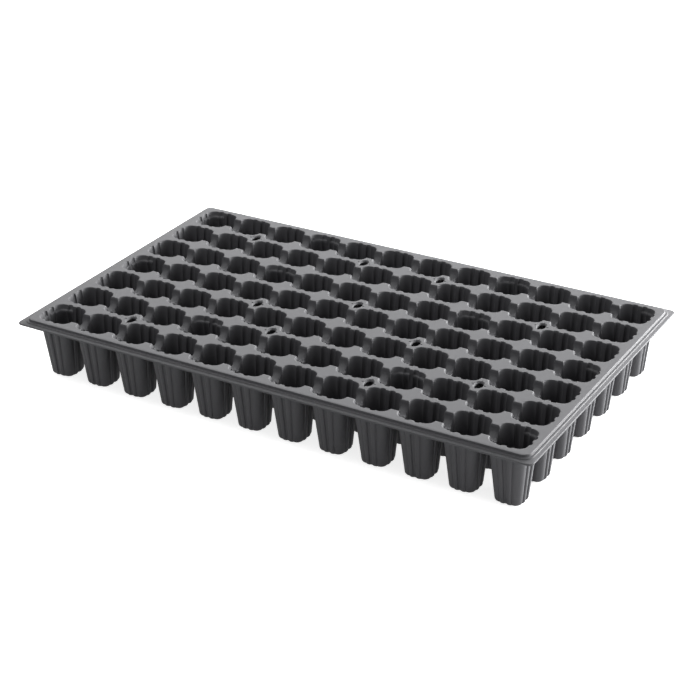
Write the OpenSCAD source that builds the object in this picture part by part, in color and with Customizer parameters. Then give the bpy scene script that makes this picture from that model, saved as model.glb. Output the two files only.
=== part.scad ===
/* [Tray] */
// Overall length over the outer lip
tray_length = 530; // [440:1:640]
// Overall width over the outer lip
tray_width = 317; // [262:1:385]
// Height from the surface it stands on to the top face
tray_height = 60; // [50:1:72]
/* [Sheet] */
// Thickness of the top sheet and the rim
deck_sheet = 0.7; // [0.5:0.05:1]
// Thickness of the cell walls and floors, thinner because they are drawn deeper
cell_sheet = 0.5; // [0.4:0.05:0.8]
/* [Cells] */
// Width of the bridge left between the ribs of neighbouring cell mouths
bridge = 5.2; // [4.2:0.1:6.5]
// Size of the corner flat cut off each corner of a mouth, measured along the side
mouth_cut = 4; // [3.2:0.1:5]
// The same at the foot of a cell
foot_cut = 2.8; // [2.2:0.1:3.4]
// Lean of the cell walls in degrees
draft = 4.8; // [3.8:0.1:5.2]
// Diameter of the drain and push-out hole in each floor
drain_d = 9; // [4:0.5:12]
/* [Flutes] */
// How far the pair of ribs in the middle of each side stands out at the mouth
rib_out = 1.9; // [1.5:0.1:2.3]
// Width over the pair of ribs
rib_span = 14.6; // [12:0.1:16]
// Lean of the ribs in degrees, a little more than the walls', so that they die away downwards
rib_draft = 5.8; // [5.6:0.1:6.2]
// Width of the strip between the two ribs
strip_width = 3.8; // [3:0.1:4.6]
// How far that strip is set back from the ribs
strip_depth = 1.6; // [1:0.1:1.8]
/* [Saddles and vents] */
// Radius of the dropped trough that joins neighbouring cells in a row
saddle_r = 9.4; // [7.6:0.1:11.4]
// Length of the vent slots in the top face
vent_length = 12; // [9:0.5:14]
// Width of the vent slots in the top face
vent_width = 7; // [5:0.5:8]
/* [Stacking ledges] */
// Depth of the stacking ledges below the top face
ledge_drop = 5; // [3:0.5:8]
// How far the stacking ledges stand in from the cell wall
ledge_width = 1.5; // [1:0.1:2]
/* [Rim] */
// Width of the flat border between the outermost mouths and the edge of the top face
edge_width = 5.8; // [4.5:0.1:8]
// Width of the stepped rim outside the top face
rim_width = 6.2; // [5:0.1:8]
// Drop from the top face to the shoulder of the rim
rim_drop = 2.2; // [1.6:0.1:4]
// Width of the shoulder at the foot of that drop
shoulder_width = 2; // [1.2:0.1:2.6]
// Step down from the shoulder to the outer lip
lip_step = 0.8; // [0.4:0.1:1.6]
// Depth of the turned-down edge of the lip
lip_turn = 1; // [0.6:0.1:2.5]
// Corner radius of the top face
deck_corner_r = 8; // [5:0.5:10]
// Corner radius of the outer lip
lip_corner_r = 4; // [3:0.5:6]

/* [Hidden] */
$fn = 48;

SHEET_COLOUR = [0.12, 0.12, 0.125];
// Cells along the length and across the width.
COLUMNS = 12;
ROWS = 7;
// Columns and rows count from the front left cell. Ledges: outer half of the end columns, or front and back.
LEDGE_ROWS_ENDS = [1, 4, 7];
LEDGE_ROWS_INNER = [2, 5, 7];
LEDGE_COLUMNS_INNER = [4, 9];
// Each vent lies between four cells: [column to its left, row in front of it].
VENTS = [[2, 1], [8, 1], [5, 2], [10, 2], [4, 3], [8, 3], [6, 4], [10, 5], [2, 6], [5, 6], [7, 6]];
// Overrun of cuts past the faces they open, and a height above everything.
OVER = 1;
TALL = 200;
// How far the border bars' inner edge lies past the teeth, so that no sliver is left between them.
TOOTH_CLEARANCE = 0.1;

// Distance between neighbouring cell centres along the length and across the width.
pitch_x = (tray_length - 2 * (edge_width + rim_width) + bridge) / COLUMNS;
pitch_y = (tray_width - 2 * (edge_width + rim_width) + bridge) / ROWS;
// Half the mouth over the ribs, and between the plain walls beside them.
mouth_x = (pitch_x - bridge) / 2;
mouth_y = (pitch_y - bridge) / 2;
wall_x = mouth_x - rib_out;
wall_y = mouth_y - rib_out;
// Half the length and width of the top face.
face_x = tray_length / 2 - rim_width;
face_y = tray_width / 2 - rim_width;
deck_under = tray_height - deck_sheet;
rib_half = rib_span / 2;
// Inner edge of the border bars, past the teeth that the set-back strips leave in the mouths.
bar_x = face_x - edge_width - strip_depth - TOOTH_CLEARANCE;
bar_y = face_y - edge_width - strip_depth - TOOTH_CLEARANCE;
shoulder_z = tray_height - rim_drop;
lip_z = shoulder_z - lip_step;
lip_reach = deck_sheet + shoulder_width;

function column_x(c) = (c - (COLUMNS + 1) / 2) * pitch_x;
function row_y(r) = (r - (ROWS + 1) / 2) * pitch_y;
function holds(list, value) = len([for (item = list) if (item == value) item]) > 0;
function has_neighbour(c, hand) = hand < 0 ? c > 1 : c < COLUMNS;
// Half the outside size of a cell at height z, over the ribs and over the plain walls.
function rib_at(mouth, z) = mouth + cell_sheet - (deck_under - z) * tan(rib_draft);
function wall_at(wall, z) = wall + cell_sheet - (deck_under - z) * tan(draft);
function cut_at(z) = foot_cut + (mouth_cut - foot_cut) * z / deck_under;

// A frustum with a rectangular plan: half sizes low at height z0 and high at height z1.
module frustum(low, high, z0, z1) {
    polyhedron(
        points = [
            [-low.x, -low.y, z0], [low.x, -low.y, z0], [low.x, low.y, z0], [-low.x, low.y, z0],
            [-high.x, -high.y, z1], [high.x, -high.y, z1], [high.x, high.y, z1], [-high.x, high.y, z1]],
        faces = [[0, 1, 2, 3], [4, 7, 6, 5], [0, 4, 5, 1], [1, 5, 6, 2], [2, 6, 7, 3], [3, 7, 4, 0]]);
}

// Half sizes of a cell's plain walls at height z, moved inwards by inset, and of its two pairs of ribs.
function walls(z, inset) = [wall_at(wall_x, z) - inset, wall_at(wall_y, z) - inset];
function ribs_x(z, inset) = [rib_at(mouth_x, z) - inset, rib_half + cell_sheet - inset];
function ribs_y(z, inset) = [rib_half + cell_sheet - inset, rib_at(mouth_y, z) - inset];
// Half the side of the square that stands on its corner and cuts the corner flats.
function corner_half(z, inset) = (wall_at(wall_x, z) + wall_at(wall_y, z) - cut_at(z)) / sqrt(2) - inset;

// A cell's form, moved inwards by inset, between two heights.
module cell_form(inset, z0, z1) {
    low = corner_half(z0, inset);
    high = corner_half(z1, inset);
    difference() {
        union() {
            intersection() {
                frustum(walls(z0, inset), walls(z1, inset), z0, z1);
                rotate(45) frustum([low, low], [high, high], z0, z1);
            }
            frustum(ribs_x(z0, inset), ribs_x(z1, inset), z0, z1);
            frustum(ribs_y(z0, inset), ribs_y(z1, inset), z0, z1);
        }
        strips(inset, [0, 180], mouth_x);
        strips(inset, [90, 270], mouth_y);
    }
}

// The strips set back between the ribs of the sides that face the given ways.
module strips(inset, ways, mouth) {
    strip_half = strip_width / 2 + inset;
    for (way = ways)
        rotate(way)
            translate([rib_at(mouth, 0) - strip_depth - inset, -strip_half, 0])
                rotate([0, rib_draft, 0]) translate([0, 0, -10])
                    cube([10, 2 * strip_half, tray_height + 20]);
}

// The outline of a cell's mouth in the top sheet.
module mouth_outline() {
    corner = (wall_x + wall_y - mouth_cut) * sqrt(2);
    tooth = strip_width + 2 * cell_sheet;
    difference() {
        union() {
            intersection() {
                square([2 * wall_x, 2 * wall_y], center = true);
                rotate(45) square(corner, center = true);
            }
            square([2 * mouth_x, 2 * rib_half], center = true);
            square([2 * rib_half, 2 * mouth_y], center = true);
        }
        for (hand = [-1, 1]) {
            translate([hand * mouth_x, 0]) square([2 * strip_depth, tooth], center = true);
            translate([0, hand * mouth_y]) square([tooth, 2 * strip_depth], center = true);
        }
    }
}

// A bar along X from the middle of one cell's wall to the next cell's, at the middle of the bridge.
module trough(radius) {
    translate([0, 0, tray_height])
        rotate([0, 90, 0]) cylinder(r = radius, h = pitch_x - 2 * wall_at(wall_x, 0), center = true);
}

// A step in the wall below ledge_drop: front and back on the inner columns, the outer half on the end ones.
module ledge(c) {
    ledge_z = tray_height - ledge_drop;
    difference() {
        intersection() {
            cell_form(cell_sheet / 2, ledge_z - ledge_width, ledge_z);
            if (holds(LEDGE_COLUMNS_INNER, c))
                for (hand = [-1, 1])
                    translate([0, hand * pitch_y * 5 / 12, TALL / 2])
                        cube([pitch_x, pitch_y / 2, TALL], center = true);
            else
                translate([(c == 1 ? -1 : 1) * pitch_x * 3 / 8, 0, TALL / 2])
                    cube([pitch_x / 2, pitch_y, TALL], center = true);
        }
        cell_form(cell_sheet + ledge_width, ledge_z - ledge_width - OVER, ledge_z + OVER);
    }
}

module cell(c, r) {
    difference() {
        cell_form(0, 0, deck_under);
        cell_form(cell_sheet, cell_sheet, deck_under + OVER);
        translate([0, 0, -OVER]) cylinder(d = drain_d, h = cell_sheet + 2 * OVER);
        for (hand = [-1, 1])
            if (has_neighbour(c, hand))
                translate([hand * pitch_x / 2, 0, 0]) trough(saddle_r);
    }
    if ((c == 1 || c == COLUMNS) && holds(LEDGE_ROWS_ENDS, r)) ledge(c);
    if (holds(LEDGE_COLUMNS_INNER, c) && holds(LEDGE_ROWS_INNER, r)) ledge(c);
}

module cells_row(r) {
    color(SHEET_COLOUR)
        for (c = [1:COLUMNS])
            translate([column_x(c), row_y(r), 0]) cell(c, r);
}

// The part of a saddle between two cells, up to the underside of the top sheet.
module saddle() {
    difference() {
        trough(saddle_r + cell_sheet);
        trough(saddle_r);
        translate([-pitch_x / 2, -pitch_y / 2, deck_under]) cube([pitch_x, pitch_y, TALL]);
        for (hand = [-1, 1])
            translate([hand * pitch_x / 2, 0, 0])
                difference() {
                    union() {
                        frustum(walls(0, 0), walls(tray_height, 0), 0, tray_height);
                        frustum(ribs_x(0, 0), ribs_x(tray_height, 0), 0, tray_height);
                    }
                    strips(0, [hand > 0 ? 180 : 0], mouth_x);
                }
    }
}

module saddles() {
    color(SHEET_COLOUR)
        for (r = [1:ROWS])
            for (c = [1:COLUMNS - 1])
                translate([column_x(c) + pitch_x / 2, row_y(r), 0]) saddle();
}

// The top sheet between four cells, cut off at the necks and the saddles.
// Column 0 and row 0 lie outside the first cells, against the border bars.
module island(c, r, vented) {
    x0 = c == 0 ? -bar_x : column_x(c) + rib_half;
    x1 = c == COLUMNS ? bar_x : column_x(c + 1) - rib_half;
    y0 = r == 0 ? -bar_y : row_y(r);
    y1 = r == ROWS ? bar_y : row_y(r + 1);
    translate([0, 0, deck_under]) linear_extrude(deck_sheet)
        difference() {
            translate([x0, y0]) square([x1 - x0, y1 - y0]);
            for (n = [max(c, 1):min(c + 1, COLUMNS)])
                for (m = [max(r, 1):min(r + 1, ROWS)])
                    translate([column_x(n), row_y(m)]) mouth_outline();
            if (c > 0 && c < COLUMNS)
                for (m = [max(r, 1):min(r + 1, ROWS)])
                    translate([column_x(c) + pitch_x / 2, row_y(m)])
                        square([2 * (bridge + rib_out), 2 * saddle_r], center = true);
            if (vented) translate([(x0 + x1) / 2, (y0 + y1) / 2]) vent_outline();
        }
}

module vent_outline() {
    end = (vent_length - vent_width) / 2;
    square([vent_width, 2 * end], center = true);
    for (hand = [-1, 1])
        translate([0, hand * end]) circle(d = vent_width);
}

module deck_islands() {
    color(SHEET_COLOUR)
        for (c = [0:COLUMNS])
            for (r = [0:ROWS])
                if (!holds(VENTS, [c, r])) island(c, r, false);
}

module deck_vents() {
    color(SHEET_COLOUR)
        for (vent = VENTS) island(vent.x, vent.y, true);
}

// The bridges of the top sheet between cells that lie one behind the other.
module deck_necks() {
    color(SHEET_COLOUR)
        translate([0, 0, deck_under]) linear_extrude(deck_sheet)
            for (c = [1:COLUMNS])
                for (r = [1:ROWS - 1])
                    difference() {
                        translate([column_x(c), row_y(r) + pitch_y / 2])
                            square([rib_span, bridge + 2 * strip_depth], center = true);
                        for (m = [r, r + 1])
                            translate([column_x(c), row_y(m)]) mouth_outline();
                    }
}

module rounded_rect(half_x, half_y, r) {
    square([2 * half_x, 2 * (half_y - r)], center = true);
    square([2 * (half_x - r), 2 * half_y], center = true);
    for (x = [-1, 1])
        for (y = [-1, 1])
            translate([x * (half_x - r), y * (half_y - r)]) circle(r = r);
}

// The plan of the top face grown outwards by grow.
module face_plan(grow) {
    rounded_rect(face_x + grow, face_y + grow, deck_corner_r + grow);
}

// The plan of the outer lip moved inwards by inset.
module lip_plan(inset) {
    rounded_rect(tray_length / 2 - inset, tray_width / 2 - inset, lip_corner_r - inset);
}

// Keeps the front and back of a frame, mitred at its corners.
module long_sides() {
    out = 2 * rim_width;
    deep = 3 * edge_width;
    intersection() {
        children();
        for (hand = [-1, 1])
            polygon([
                [-face_x - out, hand * (face_y + out)], [face_x + out, hand * (face_y + out)],
                [face_x - deep, hand * (face_y - deep)], [-face_x + deep, hand * (face_y - deep)]]);
    }
}

// Keeps the two ends of a frame, mitred at its corners.
module ends() {
    out = 2 * rim_width;
    deep = 3 * edge_width;
    intersection() {
        children();
        for (hand = [-1, 1])
            polygon([
                [hand * (face_x + out), -face_y - out], [hand * (face_x + out), face_y + out],
                [hand * (face_x - deep), face_y - deep], [hand * (face_x - deep), -face_y + deep]]);
    }
}

// The border of the top face outside the mouths.
module face_border() {
    difference() {
        face_plan(0);
        square([2 * bar_x, 2 * bar_y], center = true);
        for (c = [1:COLUMNS])
            for (r = [1:ROWS])
                if (c == 1 || c == COLUMNS || r == 1 || r == ROWS)
                    translate([column_x(c), row_y(r)]) mouth_outline();
    }
}

module frame_between(grow_in, grow_out) {
    difference() {
        face_plan(grow_out);
        face_plan(grow_in);
    }
}

module deck_long_sides() {
    color(SHEET_COLOUR)
        translate([0, 0, deck_under]) linear_extrude(deck_sheet) long_sides() face_border();
}

module deck_ends() {
    color(SHEET_COLOUR)
        translate([0, 0, deck_under]) linear_extrude(deck_sheet) ends() face_border();
}

module wall_long_sides() {
    color(SHEET_COLOUR)
        translate([0, 0, shoulder_z - deck_sheet]) linear_extrude(rim_drop + deck_sheet)
            long_sides() frame_between(0, deck_sheet);
}

module wall_ends() {
    color(SHEET_COLOUR)
        translate([0, 0, shoulder_z - deck_sheet]) linear_extrude(rim_drop + deck_sheet)
            ends() frame_between(0, deck_sheet);
}

module shoulder_long_sides() {
    color(SHEET_COLOUR) {
        translate([0, 0, shoulder_z - deck_sheet]) linear_extrude(deck_sheet)
            long_sides() frame_between(deck_sheet, lip_reach);
        translate([0, 0, lip_z - deck_sheet]) linear_extrude(lip_step)
            long_sides() frame_between(shoulder_width, lip_reach);
    }
}

module shoulder_ends() {
    color(SHEET_COLOUR) {
        translate([0, 0, shoulder_z - deck_sheet]) linear_extrude(deck_sheet)
            ends() frame_between(deck_sheet, lip_reach);
        translate([0, 0, lip_z - deck_sheet]) linear_extrude(lip_step)
            ends() frame_between(shoulder_width, lip_reach);
    }
}

// The flat of the lip outside the shoulder.
module lip_flat() {
    difference() {
        lip_plan(0);
        face_plan(lip_reach);
    }
}

module lip_edge() {
    difference() {
        lip_plan(0);
        lip_plan(deck_sheet);
    }
}

module lip_long_sides() {
    color(SHEET_COLOUR) {
        translate([0, 0, lip_z - deck_sheet]) linear_extrude(deck_sheet) long_sides() lip_flat();
        translate([0, 0, lip_z - deck_sheet - lip_turn]) linear_extrude(lip_turn) long_sides() lip_edge();
    }
}

module lip_ends() {
    color(SHEET_COLOUR) {
        translate([0, 0, lip_z - deck_sheet]) linear_extrude(deck_sheet) ends() lip_flat();
        translate([0, 0, lip_z - deck_sheet - lip_turn]) linear_extrude(lip_turn) ends() lip_edge();
    }
}

deck_long_sides();
deck_ends();
deck_islands();
deck_vents();
deck_necks();
wall_long_sides();
wall_ends();
shoulder_long_sides();
shoulder_ends();
lip_long_sides();
lip_ends();
saddles();
cells_row(1);  // cells_row_1
cells_row(2);  // cells_row_2
cells_row(3);  // cells_row_3
cells_row(4);  // cells_row_4
cells_row(5);  // cells_row_5
cells_row(6);  // cells_row_6
cells_row(7);  // cells_row_7
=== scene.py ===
import math

import bpy
import numpy as np
from mathutils import Euler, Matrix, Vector


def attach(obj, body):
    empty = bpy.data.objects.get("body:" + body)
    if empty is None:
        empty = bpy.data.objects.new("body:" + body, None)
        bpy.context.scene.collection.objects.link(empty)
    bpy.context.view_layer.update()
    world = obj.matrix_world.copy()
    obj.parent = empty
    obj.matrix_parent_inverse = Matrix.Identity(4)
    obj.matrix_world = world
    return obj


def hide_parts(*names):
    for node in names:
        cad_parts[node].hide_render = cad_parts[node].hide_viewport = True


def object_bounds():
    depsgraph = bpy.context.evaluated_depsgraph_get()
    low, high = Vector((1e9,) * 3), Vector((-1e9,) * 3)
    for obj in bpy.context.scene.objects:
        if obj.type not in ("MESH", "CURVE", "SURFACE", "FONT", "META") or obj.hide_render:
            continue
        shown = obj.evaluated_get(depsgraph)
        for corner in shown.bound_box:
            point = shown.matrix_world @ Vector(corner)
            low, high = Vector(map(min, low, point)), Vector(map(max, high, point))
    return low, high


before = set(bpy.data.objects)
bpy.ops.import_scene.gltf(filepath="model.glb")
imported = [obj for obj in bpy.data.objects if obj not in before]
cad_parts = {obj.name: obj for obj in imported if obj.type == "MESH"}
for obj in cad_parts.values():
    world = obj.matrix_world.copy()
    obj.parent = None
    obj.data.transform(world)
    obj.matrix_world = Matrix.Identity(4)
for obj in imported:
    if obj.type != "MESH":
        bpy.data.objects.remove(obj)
CAD_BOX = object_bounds()

bl_info = {
    "name": "Plug tray",
    "version": (1, 0, 0),
    "blender": (4, 5, 0),
    "location": "View3D > Sidebar > Plug tray",
    "description": "Builds a vacuum-formed nursery plug tray around its packed CAD frame",
    "category": "Object",
}

MM = 0.001
COLUMNS = 12
ROWS = 7
# Vents and stacking ledges count columns and rows from the front left cell.
VENTS = ((2, 1), (8, 1), (5, 2), (10, 2), (4, 3), (8, 3), (6, 4), (10, 5), (2, 6), (5, 6), (7, 6))
LEDGE_ROWS_ENDS = (1, 4, 7)
LEDGE_ROWS_INNER = (2, 5, 7)
LEDGE_COLUMNS_INNER = (4, 9)
SHEET_NODES = ("deck_long_sides", "deck_ends", "deck_islands", "deck_vents", "deck_necks", "saddles")
RIM_NODES = (
    "wall_long_sides", "wall_ends", "shoulder_long_sides", "shoulder_ends", "lip_long_sides", "lip_ends")


def corners_of(box):
    """The low and high corner of a box, as plain lists."""
    return [list(map(float, box[0])), list(map(float, box[1]))]


LOW, HIGH = corners_of(CAD_BOX)
TOP = HIGH[2]
HALF_X = (HIGH[0] - LOW[0]) / 2
HALF_Y = (HIGH[1] - LOW[1]) / 2


class TraySizes(bpy.types.PropertyGroup):
    """Sizes of the tray's skin."""
    sheet: bpy.props.FloatProperty(
        name="Top sheet", description="Thickness of the top sheet and rim", default=0.7 * MM, unit="LENGTH")
    wall: bpy.props.FloatProperty(
        name="Cell sheet", description="Thickness of the cell walls", default=0.5 * MM, unit="LENGTH")
    bridge: bpy.props.FloatProperty(
        name="Bridge", description="Width of sheet left between the ribs of neighbouring mouths",
        default=5.2 * MM,
        unit="LENGTH")
    border: bpy.props.FloatProperty(
        name="Border", description="Width of the flat border outside the outermost mouths",
        default=5.8 * MM,
        unit="LENGTH")
    rim: bpy.props.FloatProperty(
        name="Rim", description="Width of the stepped rim", default=6.2 * MM, unit="LENGTH")
    rib_out: bpy.props.FloatProperty(
        name="Ribs", description="How far the pair of ribs stands out at the mouth", default=1.5 * MM,
        unit="LENGTH")
    rib_foot: bpy.props.FloatProperty(
        name="Ribs at the foot", description="How far the pair of ribs stands out at the foot",
        default=1.2 * MM,
        unit="LENGTH")
    foot: bpy.props.FloatProperty(
        name="Foot", description="Half the outside width of a cell at its foot, over the ribs",
        default=13.4 * MM, unit="LENGTH")
    corner: bpy.props.FloatProperty(
        name="Corner lobes", description="Radius of the corner lobes at the mouth", default=7.8 * MM,
        unit="LENGTH")
    foot_corner: bpy.props.FloatProperty(
        name="Corner lobes at the foot", description="Radius of the corner lobes at the foot",
        default=5.6 * MM,
        unit="LENGTH")
    foot_round: bpy.props.FloatProperty(
        name="Foot rounding", description="Radius between the walls and the floor",
        default=3.0 * MM, unit="LENGTH")
    drain: bpy.props.FloatProperty(
        name="Drain hole", description="Radius of the hole in each floor", default=4.5 * MM, unit="LENGTH")
    mouth_round: bpy.props.FloatProperty(
        name="Mouth rounding", description="Radius of the edge round each mouth",
        default=0.75 * MM, unit="LENGTH")
    strip_depth: bpy.props.FloatProperty(
        name="Strip depth", description="How far the strip between the ribs is set back", default=1.6 * MM,
        unit="LENGTH")
    groove_depth: bpy.props.FloatProperty(
        name="Groove depth", description="Depth of the grooves between the ribs and the corner lobes",
        default=0.15 * MM, unit="LENGTH")
    saddle: bpy.props.FloatProperty(
        name="Saddle", description="Radius of the trough between neighbours in a row", default=8.9 * MM,
        unit="LENGTH")
    saddle_edge: bpy.props.FloatProperty(
        name="Saddle end", description="Rounding where the floor of a saddle runs into a cell",
        default=2.4 * MM,
        unit="LENGTH")
    saddle_round: bpy.props.FloatProperty(
        name="Saddle edge", description="Rounding where a saddle leaves the top face", default=0.8 * MM,
        unit="LENGTH")
    vent_x: bpy.props.FloatProperty(
        name="Vent half width", description="Half the width of a vent", default=3.6 * MM, unit="LENGTH")
    vent_y: bpy.props.FloatProperty(
        name="Vent half length", description="Half the length of a vent", default=5.6 * MM, unit="LENGTH")
    vent_bevel: bpy.props.FloatProperty(
        name="Vent bevel", description="Width of the bevel round a vent", default=1.2 * MM, unit="LENGTH")


class TrayColours(bpy.types.PropertyGroup):
    """Colour and gloss of the plastic."""
    plastic: bpy.props.FloatVectorProperty(
        name="Plastic", description="Base colour of the black sheet", subtype="COLOR", size=3,
        default=(0.011, 0.011, 0.0117), min=0.0, max=1.0)
    roughness: bpy.props.FloatProperty(
        name="Roughness", description="Roughness of the formed sheet", default=0.33, min=0.0, max=1.0,
        subtype="FACTOR")
    floor: bpy.props.FloatVectorProperty(
        name="Floor", description="Colour of the floor", subtype="COLOR", size=3, default=(0.6, 0.6, 0.6),
        min=0.0, max=1.0)


def sizes():
    return bpy.context.scene.tray_sizes


def colours():
    return bpy.context.scene.tray_colours


# ---------------------------------------------------------------- mesh helpers

def grid_faces(rows, columns, closed_rows, closed_columns):
    """Faces between the points of a rows by columns grid, numbered row after row."""
    i = np.arange(rows if closed_rows else rows - 1)[:, None]
    j = np.arange(columns if closed_columns else columns - 1)[None, :]
    i2 = (i + 1) % rows
    j2 = (j + 1) % columns
    here, after = i * columns, i2 * columns
    quads = np.stack(np.broadcast_arrays(here + j, here + j2, after + j2, after + j), -1)
    return quads.reshape(-1, 4)


def new_piece(name, points, faces, material):
    """A smooth-shaded object from arrays of points and four-cornered faces."""
    mesh = bpy.data.meshes.new(name)
    points = np.ascontiguousarray(points, dtype=np.float32)
    faces = np.ascontiguousarray(faces, dtype=np.int32)
    mesh.vertices.add(len(points))
    mesh.vertices.foreach_set("co", points.ravel())
    mesh.loops.add(faces.size)
    mesh.loops.foreach_set("vertex_index", faces.ravel())
    mesh.polygons.add(len(faces))
    mesh.polygons.foreach_set("loop_start", np.arange(len(faces), dtype=np.int32) * 4)
    mesh.polygons.foreach_set("use_smooth", np.ones(len(faces), dtype=bool))
    mesh.update(calc_edges=True)
    mesh.validate()
    mesh.set_sharp_from_angle(angle=math.radians(48))
    mesh.materials.append(material)
    piece = bpy.data.objects.new(name, mesh)
    bpy.context.scene.collection.objects.link(piece)
    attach(piece, "root")
    return piece


def smooth_step(a, b, x):
    """0 below a, 1 above b, and 3t^2 - 2t^3 between."""
    t = np.clip((x - a) / (b - a), 0.0, 1.0)
    return t * t * (3 - 2 * t)


# ---------------------------------------------------------------- the cell outline

# Places along half a side in millimetres at the mouth, from the middle of the side to the corner lobe.
RIB_PLACES = (0.0, 0.9, 1.5, 1.9, 2.3, 2.8, 3.4, 4.1, 4.8, 5.5, 6.2, 6.8, 7.3, 7.7, 8.1, 8.5, 8.9, 9.4)
# Angles in degrees round a corner lobe, from the end of the side to the middle of the corner.
LOBE_ANGLES = (0.0, 5.0, 11.0, 18.0, 27.0, 36.0, 45.0)


def side_layout():
    """One cell's outline as four equal sides. Each point has a kind of place: along a side, as a fraction
    of the straight part, and round a corner lobe, as an angle. Both run from one corner's middle to the
    next, and a corner's middle belongs to the side that comes after it. Returns fraction, angle and
    side."""
    places = np.array(RIB_PLACES)
    straight = places / places[-1]
    lobe = np.radians(np.array(LOBE_ANGLES))[1:]
    fraction = np.concatenate([straight, np.ones(len(lobe))])
    angle = np.concatenate([np.zeros(len(straight)), lobe])
    fraction = np.concatenate([-fraction[::-1], fraction[1:-1]])
    angle = np.concatenate([-angle[::-1], angle[1:-1]])
    count = len(fraction)
    return np.tile(fraction, 4), np.tile(angle, 4), np.repeat(np.arange(4), count)


FRACTION, ANGLE, SIDE = side_layout()
AROUND = len(FRACTION)
PLACE = np.abs(FRACTION) * RIB_PLACES[-1]


def smooth_bump(place, centre, half_width):
    """A round-topped rise that is 1 at the centre and 0 beyond half_width: the square root of 1 - t^2,
    eased."""
    t = np.clip(np.abs(place - centre) / half_width, 0, 1)
    return np.sqrt(1 - t * t) * (1 - 0.25 * t ** 6)


# How far a point belongs to a rib, to the strip between the ribs and to the groove beside the ribs, 0 to 1.
RIB = smooth_bump(PLACE, 4.6, 3.1)
STRIP = 1 - smooth_step(1.4, 2.5, PLACE)
GROOVE = np.exp(-((PLACE - 7.9) / 0.75) ** 2)
GROOVE[np.abs(ANGLE) > 0] = 0.0


def outline_at(plain, lobe, rib_out, strip_depth, groove, grow=0.0):
    """A cell's outline: straight sides at a distance plain from the middle, corners rounded with radius
    lobe, the ribs standing out by rib_out with the strip between them set back from their faces by
    strip_depth, and a groove beside each rib. grow moves every point outwards along the plain outline's
    normal. plain, lobe and rib_out may be arrays, one value a point. Returns x, y."""
    straight = plain - lobe
    along = FRACTION * straight + lobe * np.sin(ANGLE)
    rise = rib_out * np.maximum(RIB, STRIP) - strip_depth * STRIP - groove * GROOVE * (1 - RIB)
    out = straight + lobe * np.cos(ANGLE) + rise + grow * np.cos(ANGLE)
    along = along + grow * np.sin(ANGLE)
    c = np.cos(SIDE * math.pi / 2)
    s = np.sin(SIDE * math.pi / 2)
    return out * c - along * s, out * s + along * c


def trough_drop(y, radius, rounding):
    """How far the sheet lies below the top face at a distance y from the middle of a saddle: a half pipe of
    the given radius, met by a convex rounding that is tangent to the pipe and to the top face."""
    y = np.abs(y)
    edge = math.sqrt(radius * radius + 2 * radius * rounding)
    meet = edge * radius / (radius + rounding)
    pipe = np.sqrt(np.clip(radius * radius - y * y, 0, None))
    lip = rounding - np.sqrt(np.clip(rounding ** 2 - (edge - y) ** 2, 0, None))
    return np.where(y < meet, pipe, np.where(y < edge, lip, 0.0))


def layout():
    """Cell spacing and the cell centres, from the frame's box."""
    s = sizes()
    pitch_x = (2 * HALF_X - 2 * (s.border + s.rim) + s.bridge) / COLUMNS
    pitch_y = (2 * HALF_Y - 2 * (s.border + s.rim) + s.bridge) / ROWS
    centre_x = (np.arange(COLUMNS) - (COLUMNS - 1) / 2) * pitch_x
    centre_y = (np.arange(ROWS) - (ROWS - 1) / 2) * pitch_y
    return pitch_x, pitch_y, centre_x, centre_y


def saddle_mask(left, right):
    """1 for outline points on a side that opens to a neighbour in the row."""
    return np.where(SIDE == 0, float(right), 0.0) + np.where(SIDE == 2, float(left), 0.0)


def seam_drop(x, y, mask, radius, rounding):
    """Drop of the sheet at points of a cell's seam; only sides with a saddle drop."""
    return mask * trough_drop(y, radius, rounding)


# ---------------------------------------------------------------- cells

# Down a cell's wall: depth below the top face in millimetres, and how far a stacking ledge stands in, 0 to 1.
WALL_LEVELS = (
    (4.3, 0), (4.6, 0.1), (4.9, 0.5), (5.3, 0.85), (5.9, 1), (7.5, 0.9), (11.0, 0.5), (16.0, 0), (25.0, 0),
    (35.0, 0), (46.0, 0))
LEDGE_WIDTH = 1.6 * MM
# Least distance between neighbouring rings of a wall, where a saddle pushes them down.
RING_GAP = 0.3 * MM
# The seam with the top sheet lies this many mouth roundings outside the mouth's line.
SEAM_OUT = 1.2
# Share of the ribs that is lost towards the foot's flat.
RIB_LOSS = 0.35


def section(z, grow=0.0, rib_scale=1.0):
    """A cell's inside outline at height z. The plain walls, the corner lobes and the ribs each run straight
    from their size at the mouth to their size at the foot."""
    s = sizes()
    pitch_x, _, _, _ = layout()
    mouth = (pitch_x - s.bridge) / 2
    t = z / (TOP - s.sheet)
    rib = s.rib_foot + (s.rib_out - s.rib_foot) * t
    over_ribs = (s.foot - s.wall) + (mouth - s.foot + s.wall) * t
    plain = over_ribs - rib
    lobe = s.foot_corner + (s.corner - s.foot_corner) * t
    return outline_at(plain, lobe, rib * rib_scale, s.strip_depth * (0.7 + 0.3 * t) * rib_scale,
                      s.groove_depth * rib_scale, grow)


def mouth_line(grow):
    """The outline at the top face, grown outwards."""
    return section(np.full(AROUND, TOP - sizes().sheet), grow)


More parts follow.
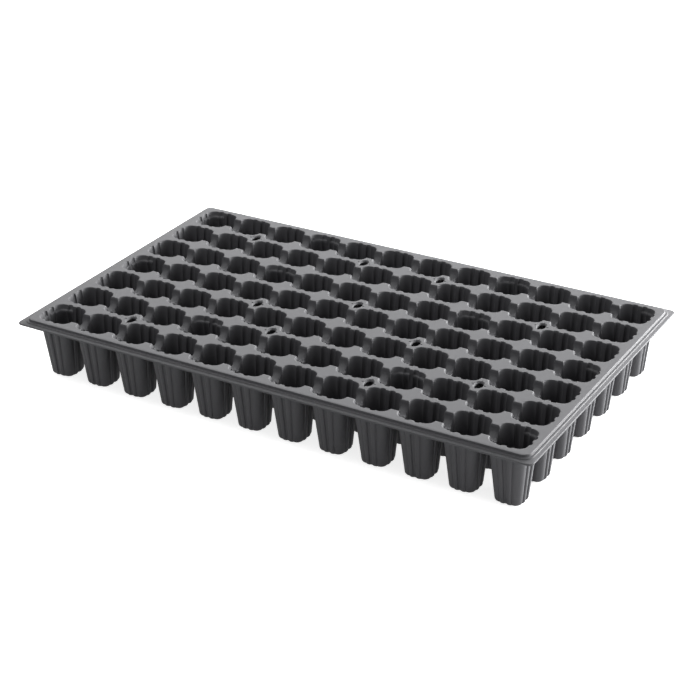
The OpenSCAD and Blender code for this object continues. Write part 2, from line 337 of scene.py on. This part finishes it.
def cell_points(left, right, ledge_window):
    """The skin of one cell as rings: round the mouth's edge, down the inside, round the foot, over the
    floor to the drain hole and back up the outside. Each ring is the fluted outline at that height, and the
    rings follow the dip of a saddle where there is one. Returns an array of rings by points by 3, centred
    on the cell."""
    s = sizes()
    mask = saddle_mask(left, right)
    rings = []
    # Round the mouth's edge, from the flat sheet down into the cell, more where a saddle runs into it.
    x, y = mouth_line(s.mouth_round * SEAM_OUT)
    seam_x, seam_y, seam_z = x, y, TOP - seam_drop(x, y, mask, s.saddle, s.saddle_round)
    r = s.mouth_round + (s.saddle_edge - s.mouth_round) * (TOP - seam_z) / s.saddle
    rings.append((x, y, seam_z))
    for angle in (15.0, 35.0, 55.0, 75.0):
        t = math.radians(angle)
        x, y = mouth_line(s.mouth_round * 1.1 - r * math.sin(t))
        drop = seam_drop(x, y, mask, s.saddle, s.saddle_round)
        rings.append((x, y, np.minimum(TOP - drop, seam_z) - r * (1 - math.cos(t))))
    edge_z = rings[-1][2]
    for k, (level, shelf) in enumerate(WALL_LEVELS):
        z = np.minimum(TOP - level * MM, edge_z - (k + 1) * RING_GAP)
        x, y = section(z, -ledge_window * shelf * LEDGE_WIDTH)
        rings.append((x, y, z))
    # Round the foot inside.
    ri = s.foot_round - s.wall
    for angle in (0.0, 22.0, 45.0, 68.0, 90.0):
        t = math.radians(angle)
        x, y = section(np.full(AROUND, s.wall + ri), -ri * (1 - math.cos(t)), 1 - RIB_LOSS * math.sin(t) ** 2)
        rings.append((x, y, np.full(AROUND, s.wall + ri * (1 - math.sin(t)))))
    last_x, last_y = rings[-1][0], rings[-1][1]
    angle = np.arctan2(last_y, last_x)
    hole_x, hole_y = s.drain * np.cos(angle), s.drain * np.sin(angle)
    bevel = 0.1 * MM
    for t, z in ((0.5, s.wall), (0.93, s.wall), (1.0, s.wall - bevel), (1.0, bevel), (0.93, 0.0), (0.5, 0.0)):
        rings.append((last_x * (1 - t) + hole_x * t, last_y * (1 - t) + hole_y * t, np.full(AROUND, z)))
    # Round the foot outside, then up to the sheet.
    ro = s.foot_round
    for angle in (90.0, 68.0, 45.0, 22.0, 0.0):
        t = math.radians(angle)
        x, y = section(np.full(AROUND, ro), s.wall - ro * (1 - math.cos(t)), 1 - RIB_LOSS * math.sin(t) ** 2)
        rings.append((x, y, np.full(AROUND, ro * (1 - math.sin(t)))))
    line_x, line_y = mouth_line(0.0)
    under = TOP - s.sheet - seam_drop(line_x, line_y, mask, s.saddle + 0.05 * MM, s.saddle_round)
    for level in (42.0, 26.0, 14.0, 6.0):
        z = np.minimum(TOP - level * MM, under - 0.5 * MM - (level - 6) * MM * 0.02)
        x, y = section(z, s.wall)
        rings.append((x, y, z))
    z = under - 0.1 * MM
    x, y = section(z, s.wall)
    rings.append((x, y, z))
    rings.append((seam_x, seam_y, seam_z - s.sheet))
    return np.stack([np.stack(ring, -1) for ring in rings])


def ledge_window_of(c, r):
    """Where round a cell's wall a stacking ledge runs, 0 to 1: the outer half of the end columns, and the
    front and back walls of the inner columns, broken by the set-back strips."""
    x, y = mouth_line(0.0)
    angle = np.arctan2(y, x)
    window = np.zeros(AROUND)
    if c in (1, COLUMNS) and r in LEDGE_ROWS_ENDS:
        outward = np.cos(angle) * (1 if c == COLUMNS else -1)
        window = smooth_step(-0.06, 0.02, outward)
    if c in LEDGE_COLUMNS_INNER and r in LEDGE_ROWS_INNER:
        window = smooth_step(0.5, 0.58, np.abs(np.sin(angle)))
    return window * (1 - STRIP)


class TRAY_OT_cells(bpy.types.Operator):
    """Builds one piece for each row of cells, as fluted cups with rounded feet."""
    bl_idname = "tray.cells"
    bl_label = "Rows of cells"

    def execute(self, context):
        _, _, centre_x, centre_y = layout()
        plastic = black_sheet()
        for r in range(1, ROWS + 1):
            points, faces, count = [], [], 0
            for c in range(1, COLUMNS + 1):
                skin = cell_points(c > 1, c < COLUMNS, ledge_window_of(c, r))
                rings = skin.shape[0]
                flat = skin.reshape(-1, 3) + np.array([centre_x[c - 1], centre_y[r - 1], 0.0])
                points.append(flat)
                faces.append(grid_faces(rings, AROUND, True, True) + count)
                count += len(flat)
            piece = new_piece("cup_row_%d" % r, np.concatenate(points), np.concatenate(faces), plastic)
            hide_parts("cells_row_%d" % r)
        return {"FINISHED"}


# ---------------------------------------------------------------- top sheet

def square_points(vents):
    """Where each outline point lands on the edge of its cell's square of sheet: straight across beside the
    side's straight part, and shared out towards the corner from the corner lobe. A corner that belongs to a
    vent is cut back to a quarter of the vent's outline. vents holds four flags, for the corners at the end
    of sides 0 to 3."""
    s = sizes()
    pitch_x, pitch_y, _, _ = layout()
    hx, hy = pitch_x / 2, pitch_y / 2
    x0, y0 = mouth_line(0.0)
    across = SIDE % 2 == 0
    sign_x, sign_y = np.sign(x0), np.sign(y0)
    place = np.where(across, np.abs(y0), np.abs(x0))
    # Up to the knee a point goes straight across, beyond it towards the corner.
    knee = 11.0 * MM
    end = np.max(place)
    cut_x, cut_y = s.vent_x + s.vent_bevel, s.vent_y + s.vent_bevel
    # 0 at the knee and 1 at the middle of the corner.
    f = np.clip((place - knee) / (end - knee), 0, 1)
    reach_x = np.where(place <= knee, place, knee + f * (hx - knee))
    reach_y = np.where(place <= knee, place, knee + f * (hy - knee))
    x = np.where(across, sign_x * hx, sign_x * reach_x)
    y = np.where(across, sign_y * reach_y, sign_y * hy)
    # Share of the way round a corner that leads to a vent's outline, at either end.
    begin = 0.2
    for corner, flag in enumerate(vents):
        if not flag:
            continue
        cx = 1.0 if corner in (0, 3) else -1.0
        cy = 1.0 if corner in (0, 1) else -1.0
        near = (sign_x == cx) & (sign_y == cy) & (place > knee)
        # q runs 0 to 1 from the knee on the side across X, round the corner, to the other side's knee.
        q = np.where(across, f, 2 - f) / 2
        turn = np.clip((q - begin) / (1 - 2 * begin), 0, 1) * math.pi / 2
        vx = cx * (hx - cut_x * np.sin(turn) ** 0.9)
        vy = cy * (hy - cut_y * np.cos(turn) ** 0.9)
        vy = np.where(q < begin, cy * (knee + (hy - cut_y - knee) * q / begin), vy)
        vx = np.where(q < begin, cx * hx, vx)
        vx = np.where(q > 1 - begin, cx * (knee + (hx - cut_x - knee) * (1 - q) / begin), vx)
        vy = np.where(q > 1 - begin, cy * hy, vy)
        x = np.where(near, vx, x)
        y = np.where(near, vy, y)
    return x, y


def sheet_points(left, right, vents):
    """The top sheet round one cell as a closed band: its top face from the mouth's seam to the cell's
    square, its underside back again, and the edges between. The band dips into the saddles."""
    s = sizes()
    mask = saddle_mask(left, right)
    x0, y0 = mouth_line(s.mouth_round * SEAM_OUT)
    x1, y1 = square_points(vents)
    top = []
    for x, y in ((x0, y0), (x1, y1)):
        drop = seam_drop(x, y, mask, s.saddle, s.saddle_round)
        top.append((x, y, TOP - drop))
    rings = top + [(x, y, z - s.sheet) for x, y, z in reversed(top)]
    return np.stack([np.stack(ring, -1) for ring in rings])


class TRAY_OT_sheet(bpy.types.Operator):
    """Builds the flat top sheet round the mouths, with its saddles and vents."""
    bl_idname = "tray.sheet"
    bl_label = "Top sheet"

    def execute(self, context):
        _, _, centre_x, centre_y = layout()
        plastic = black_sheet()
        points, faces, count = [], [], 0
        for r in range(1, ROWS + 1):
            for c in range(1, COLUMNS + 1):
                flags = [(c, r) in VENTS, (c - 1, r) in VENTS, (c - 1, r - 1) in VENTS, (c, r - 1) in VENTS]
                band = sheet_points(c > 1, c < COLUMNS, flags)
                flat = band.reshape(-1, 3) + np.array([centre_x[c - 1], centre_y[r - 1], 0.0])
                points.append(flat)
                faces.append(grid_faces(band.shape[0], AROUND, True, True)[:, ::-1] + count)
                count += len(flat)
        piece = new_piece("top_sheet", np.concatenate(points), np.concatenate(faces), plastic)
        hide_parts(*SHEET_NODES)
        return {"FINISHED"}


class TRAY_OT_vents(bpy.types.Operator):
    """Builds the bevelled rings that the top sheet dips into round the vents."""
    bl_idname = "tray.vents"
    bl_label = "Vent rings"

    def execute(self, context):
        s = sizes()
        _, _, centre_x, centre_y = layout()
        t = np.linspace(0, 2 * math.pi, 40, endpoint=False)
        cos, sin = np.cos(t), np.sin(t)
        # Offsets outwards from the vent's edge and heights over the top face, round the ring's section.
        section = [(1.5, -0.03), (1.25, -0.05), (1.0, -0.2), (0.3, -0.75), (0.0, -1.1), (-0.15, -2.0),
                   (0.1, -2.1), (0.3, -2.0), (0.6, -1.2), (1.5, -0.7)]
        points, faces, count = [], [], 0
        for c, r in VENTS:
            x0 = (centre_x[c - 1] + centre_x[c]) / 2
            y0 = (centre_y[r - 1] + centre_y[r]) / 2
            rings = []
            for out, z in section:
                rx = (s.vent_x + out * MM)
                ry = (s.vent_y + out * MM)
                rings.append(np.stack([
                    x0 + rx * np.sign(cos) * np.abs(cos) ** 0.9,
                    y0 + ry * np.sign(sin) * np.abs(sin) ** 0.9,
                    np.full(len(t), TOP + z * MM)], -1))
            ring = np.stack(rings)
            points.append(ring.reshape(-1, 3))
            faces.append(grid_faces(len(section), len(t), True, True) + count)
            count += ring.size // 3
        piece = new_piece("vent_rings", np.concatenate(points), np.concatenate(faces), black_sheet())
        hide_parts("deck_vents")
        return {"FINISHED"}


# ---------------------------------------------------------------- rim

def frame_ring(half_x, half_y, radius, per_corner=10, per_long=24, per_short=14):
    """A rounded rectangle as points in order: each corner an arc, each side evenly divided."""
    t = np.linspace(0, math.pi / 2, per_corner)
    x, y = [], []
    for k, (sx, sy) in enumerate(((1, 1), (-1, 1), (-1, -1), (1, -1))):
        a = t + k * math.pi / 2
        x.append(sx * (half_x - radius) + radius * np.cos(a))
        y.append(sy * (half_y - radius) + radius * np.sin(a))
    full_x, full_y = [], []
    for k in range(4):
        n = per_long if k % 2 == 0 else per_short
        full_x.append(x[k])
        full_y.append(y[k])
        after = (k + 1) % 4
        u = np.linspace(0, 1, n + 2)[1:-1]
        full_x.append(x[k][-1] * (1 - u) + x[after][0] * u)
        full_y.append(y[k][-1] * (1 - u) + y[after][0] * u)
    return np.concatenate(full_x), np.concatenate(full_y)


class TRAY_OT_rim(bpy.types.Operator):
    """Builds the border of the top face and the stepped rim, as one profile carried round the tray."""
    bl_idname = "tray.rim"
    bl_label = "Stepped rim"

    def execute(self, context):
        s = sizes()
        pitch_x, _, centre_x, _ = layout()
        face_x = HALF_X - s.rim
        face_y = HALF_Y - s.rim
        flat = (face_x - centre_x[-1] - pitch_x / 2) / MM
        # Millimetres out from the top face's edge, up from the top face, and of corner radius.
        top = [(-flat, 0.0, 0.05), (-0.6, 0.0, 7.4), (-0.3, -0.05, 7.7), (-0.1, -0.2, 7.9), (0.0, -0.5, 8.0),
               (0.12, -1.3, 8.1), (0.25, -2.0, 8.2), (0.4, -2.17, 8.4), (0.7, -2.2, 8.7), (2.2, -2.22, 10.0),
               (2.5, -2.32, 10.2), (2.62, -2.55, 10.3), (2.7, -2.85, 10.3), (2.95, -3.0, 10.2),
               (5.5, -3.2, 5.7), (5.9, -3.28, 5.3), (6.12, -3.45, 5.08), (6.2, -3.8, 5.0), (6.2, -4.6, 5.0)]
        under = [(6.1, -4.7, 4.9), (5.75, -4.7, 4.6), (5.6, -4.5, 4.5), (5.5, -3.85, 4.6), (5.2, -3.7, 4.8),
                 (2.6, -3.65, 9.6), (2.15, -3.5, 9.7), (2.0, -3.1, 9.6), (1.8, -2.92, 9.4), (0.2, -2.85, 8.0),
                 (-0.35, -2.7, 7.6), (-0.62, -2.2, 7.4), (-0.8, -0.9, 7.2), (-1.0, -0.7, 7.0),
                 (-flat, -0.7, 0.05)]
        rings = []
        for out, z, radius in top + under:
            hx = face_x + out * MM
            hy = face_y + out * MM
            x, y = frame_ring(hx, hy, radius * MM)
            rings.append(np.stack([x, y, np.full(len(x), TOP + z * MM)], -1))
        skin = np.stack(rings)
        faces = grid_faces(skin.shape[0], skin.shape[1], True, True)[:, ::-1]
        piece = new_piece("stepped_rim", skin.reshape(-1, 3), faces, black_sheet())
        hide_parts(*RIM_NODES)
        return {"FINISHED"}


# ---------------------------------------------------------------- materials

def black_sheet():
    """Black vacuum-formed sheet: a satin surface with faint mottling and a fine grain."""
    name = "black_sheet"
    if name in bpy.data.materials:
        return bpy.data.materials[name]
    c = colours()
    material = bpy.data.materials.new(name)
    material.use_nodes = True
    nodes, links = material.node_tree.nodes, material.node_tree.links
    nodes.clear()
    out = nodes.new("ShaderNodeOutputMaterial")
    shader = nodes.new("ShaderNodeBsdfPrincipled")
    shader.inputs["Base Color"].default_value = (*c.plastic, 1)
    shader.inputs["IOR"].default_value = 1.5
    shader.inputs["Coat Weight"].default_value = 0.4
    shader.inputs["Coat Roughness"].default_value = 0.14
    shader.inputs["Coat IOR"].default_value = 1.5
    coords = nodes.new("ShaderNodeTexCoord")
    mottle = nodes.new("ShaderNodeTexNoise")
    mottle.inputs["Scale"].default_value = 60.0
    mottle.inputs["Detail"].default_value = 4.0
    links.new(coords.outputs["Object"], mottle.inputs["Vector"])
    rough = nodes.new("ShaderNodeMapRange")
    rough.inputs["To Min"].default_value = c.roughness - 0.05
    rough.inputs["To Max"].default_value = c.roughness + 0.05
    links.new(mottle.outputs["Fac"], rough.inputs["Value"])
    links.new(rough.outputs["Result"], shader.inputs["Roughness"])
    grain = nodes.new("ShaderNodeTexNoise")
    grain.inputs["Scale"].default_value = 1400.0
    grain.inputs["Detail"].default_value = 2.0
    links.new(coords.outputs["Object"], grain.inputs["Vector"])
    bump = nodes.new("ShaderNodeBump")
    bump.inputs["Strength"].default_value = 0.12
    bump.inputs["Distance"].default_value = 0.0002
    links.new(grain.outputs["Fac"], bump.inputs["Height"])
    links.new(bump.outputs["Normal"], shader.inputs["Normal"])
    links.new(shader.outputs["BSDF"], out.inputs["Surface"])
    return material


# ---------------------------------------------------------------- stage

def area_lamp(name, place, aim, size_x, size_y, power):
    """A rectangular lamp at place that looks at aim."""
    light = bpy.data.lights.new(name, "AREA")
    light.shape = "RECTANGLE"
    light.size = size_x
    light.size_y = size_y
    light.energy = power
    lamp = bpy.data.objects.new(name, light)
    bpy.context.scene.collection.objects.link(lamp)
    lamp.location = place
    lamp.rotation_euler = (Vector(aim) - Vector(place)).to_track_quat("-Z", "Y").to_euler()
    return lamp


class TRAY_OT_stage(bpy.types.Operator):
    """Builds the floor, the light and the camera."""
    bl_idname = "tray.stage"
    bl_label = "Stage"

    def execute(self, context):
        scene = context.scene
        scene.view_settings.view_transform = "Standard"
        world = bpy.data.worlds.new("studio")
        scene.world = world
        world.use_nodes = True
        nodes, links = world.node_tree.nodes, world.node_tree.links
        nodes.clear()
        out = nodes.new("ShaderNodeOutputWorld")
        soft = nodes.new("ShaderNodeBackground")
        soft.inputs["Color"].default_value = (1, 1, 1, 1)
        soft.inputs["Strength"].default_value = 0.36
        white = nodes.new("ShaderNodeBackground")
        white.inputs["Strength"].default_value = 1.0
        path = nodes.new("ShaderNodeLightPath")
        mix = nodes.new("ShaderNodeMixShader")
        links.new(path.outputs["Is Camera Ray"], mix.inputs["Fac"])
        links.new(soft.outputs["Background"], mix.inputs[1])
        links.new(white.outputs["Background"], mix.inputs[2])
        links.new(mix.outputs["Shader"], out.inputs["Surface"])

        mesh = bpy.data.meshes.new("floor")
        w = 6.0
        mesh.from_pydata([(-w, -w, 0), (w, -w, 0), (w, w, 0), (-w, w, 0)], [], [(0, 1, 2, 3)])
        floor = bpy.data.objects.new("floor", mesh)
        scene.collection.objects.link(floor)
        material = bpy.data.materials.new("floor_paper")
        material.use_nodes = True
        nodes, links = material.node_tree.nodes, material.node_tree.links
        nodes.clear()
        out = nodes.new("ShaderNodeOutputMaterial")
        paper = nodes.new("ShaderNodeBsdfDiffuse")
        paper.inputs["Color"].default_value = (*colours().floor, 1)
        glow = nodes.new("ShaderNodeEmission")
        add = nodes.new("ShaderNodeAddShader")
        path = nodes.new("ShaderNodeLightPath")
        scale = nodes.new("ShaderNodeMath")
        scale.operation = "MULTIPLY"
        scale.inputs[1].default_value = 0.8
        seen = nodes.new("ShaderNodeMath")
        seen.operation = "MAXIMUM"
        links.new(path.outputs["Is Camera Ray"], seen.inputs[0])
        links.new(path.outputs["Is Glossy Ray"], seen.inputs[1])
        links.new(seen.outputs["Value"], scale.inputs[0])
        links.new(scale.outputs["Value"], glow.inputs["Strength"])
        links.new(paper.outputs["BSDF"], add.inputs[0])
        links.new(glow.outputs["Emission"], add.inputs[1])
        links.new(add.outputs["Shader"], out.inputs["Surface"])
        mesh.materials.append(material)

        area_lamp("back_high", (-0.9, 1.5, 1.15), (0, 0, 0.03), 2.4, 0.8, 40)
        area_lamp("back_low", (-0.9, 1.7, 0.55), (0, 0, 0.03), 2.4, 0.6, 26)
        area_lamp("back_right", (1.2, 1.5, 0.55), (0, 0, 0.03), 1.2, 1.1, 135)
        area_lamp("right", (1.9, 0.2, 0.55), (0, 0, 0.03), 1.4, 1.0, 26)
        area_lamp("right_strip", (0.75, 0.8, 0.12), (0.27, 0.1, 0.03), 0.6, 0.22, 19)
        area_lamp("overhead", (-0.75, -0.4, 1.4), (0, 0, 0.03), 0.5, 0.5, 15)

        camera = bpy.data.cameras.new("camera")
        camera.lens = 89.148
        camera.sensor_width = 36.0
        camera.clip_end = 50
        view = bpy.data.objects.new("camera", camera)
        scene.collection.objects.link(view)
        view.location = (0.74815, -1.24574, TOP + 0.72011)
        view.rotation_euler = Euler([math.radians(turn) for turn in (62.437, 0.9089, 30.4015)], "XYZ")
        scene.camera = view
        return {"FINISHED"}


class TRAY_PT_panel(bpy.types.Panel):
    """Lists the tray's pieces, sizes and colours."""
    bl_idname = "TRAY_PT_panel"
    bl_label = "Plug tray"
    bl_space_type = "VIEW_3D"
    bl_region_type = "UI"
    bl_category = "Plug tray"

    def draw(self, context):
        layout_ = self.layout
        for operator in OPERATORS:
            layout_.operator(operator.bl_idname)
        for group in (context.scene.tray_sizes, context.scene.tray_colours):
            for name in group.__annotations__:
                layout_.prop(group, name)


OPERATORS = (TRAY_OT_cells, TRAY_OT_sheet, TRAY_OT_vents, TRAY_OT_rim, TRAY_OT_stage)
CLASSES = (TraySizes, TrayColours) + OPERATORS + (TRAY_PT_panel,)


def register():
    for cls in CLASSES:
        bpy.utils.register_class(cls)
    bpy.types.Scene.tray_sizes = bpy.props.PointerProperty(type=TraySizes)
    bpy.types.Scene.tray_colours = bpy.props.PointerProperty(type=TrayColours)


def unregister():
    del bpy.types.Scene.tray_colours
    del bpy.types.Scene.tray_sizes
    for cls in reversed(CLASSES):
        bpy.utils.unregister_class(cls)


def main():
    register()
    bpy.ops.tray.cells()
    bpy.ops.tray.sheet()
    bpy.ops.tray.vents()
    bpy.ops.tray.rim()
    bpy.ops.tray.stage()


if __name__ == "__main__":
    main()
